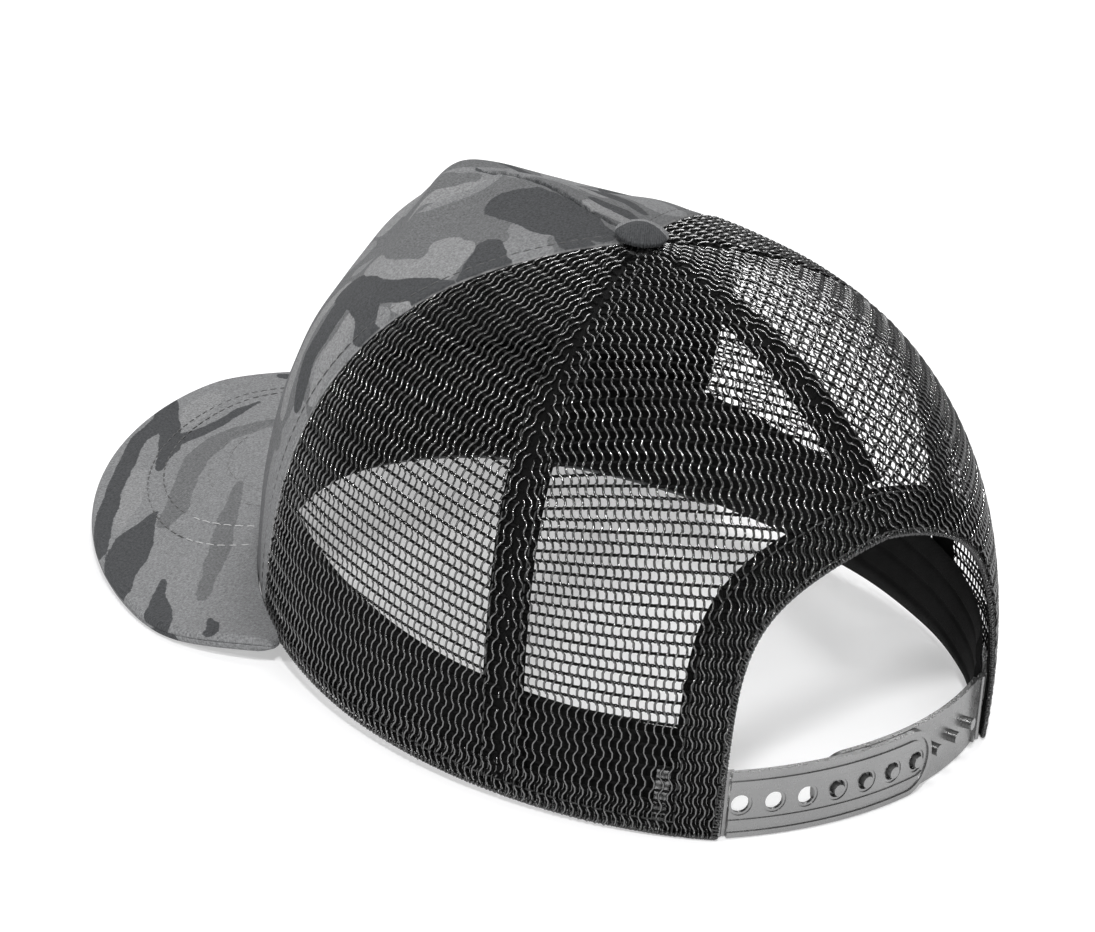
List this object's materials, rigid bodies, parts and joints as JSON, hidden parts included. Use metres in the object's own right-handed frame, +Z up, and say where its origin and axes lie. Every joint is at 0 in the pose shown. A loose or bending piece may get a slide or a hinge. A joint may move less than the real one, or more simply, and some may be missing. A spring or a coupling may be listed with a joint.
{
  "type": "trucker mesh cap",
  "caption": "Five-panel trucker cap with a curved visor, open mesh sides and rear, and a snap strap across the rear opening.",
  "frame": {"origin": "under the middle of the cap's box, on the surface the cap rests on", "axes": "forward (the visor) is -Y, the wearer's left is +X, up is +Z"},
  "size_m": [0.1842, 0.259, 0.1166],
  "materials": {
    "front_cloth": "cotton twill with a grey camouflage print",
    "mesh": "open polyester net",
    "lining": "stiff buckram",
    "tape": "plain woven tape",
    "sweatband": "soft cotton",
    "board": "plain polyethylene sheet",
    "strap": "semi-gloss moulded plastic",
    "button_metal": "pressed, unpolished"
  },
  "bodies": {
    "crown": {"front_panel": "front_cloth", "front_lining": "lining", "side_mesh_left": "mesh", "side_mesh_right": "mesh", "back_mesh_left": "mesh", "back_mesh_right": "mesh", "front_seam_tape_left": "tape", "front_seam_tape_right": "tape", "side_seam_tape_left": "tape", "side_seam_tape_right": "tape", "back_seam_tape": "tape", "front_dart_tape": "tape", "arch_binding": "tape", "sweatband": "sweatband", "visor_board": "board", "visor_top_cover": "front_cloth", "visor_under_cover": "front_cloth", "strap_left_tab": "strap", "strap_right_tab": "strap", "button_cover": "front_cloth", "button_shell": "button_metal", "button_rivet": "button_metal"},
    "hole_strap": {"strap_left": "strap"},
    "stud_strap": {"strap_right": "strap"}
  },
  "joints": [
    {"name": "hole_strap_fold", "type": "hinge", "parent": "crown", "child": "hole_strap", "pos_m": [0.04417, 0.11705, 0.009], "axis": [0, 0, -1], "range_deg": [0, 45]},
    {"name": "stud_strap_fold", "type": "hinge", "parent": "crown", "child": "stud_strap", "pos_m": [-0.04417, 0.11705, 0.009], "axis": [0, 0, -1], "range_deg": [0, 60]}
  ]
}
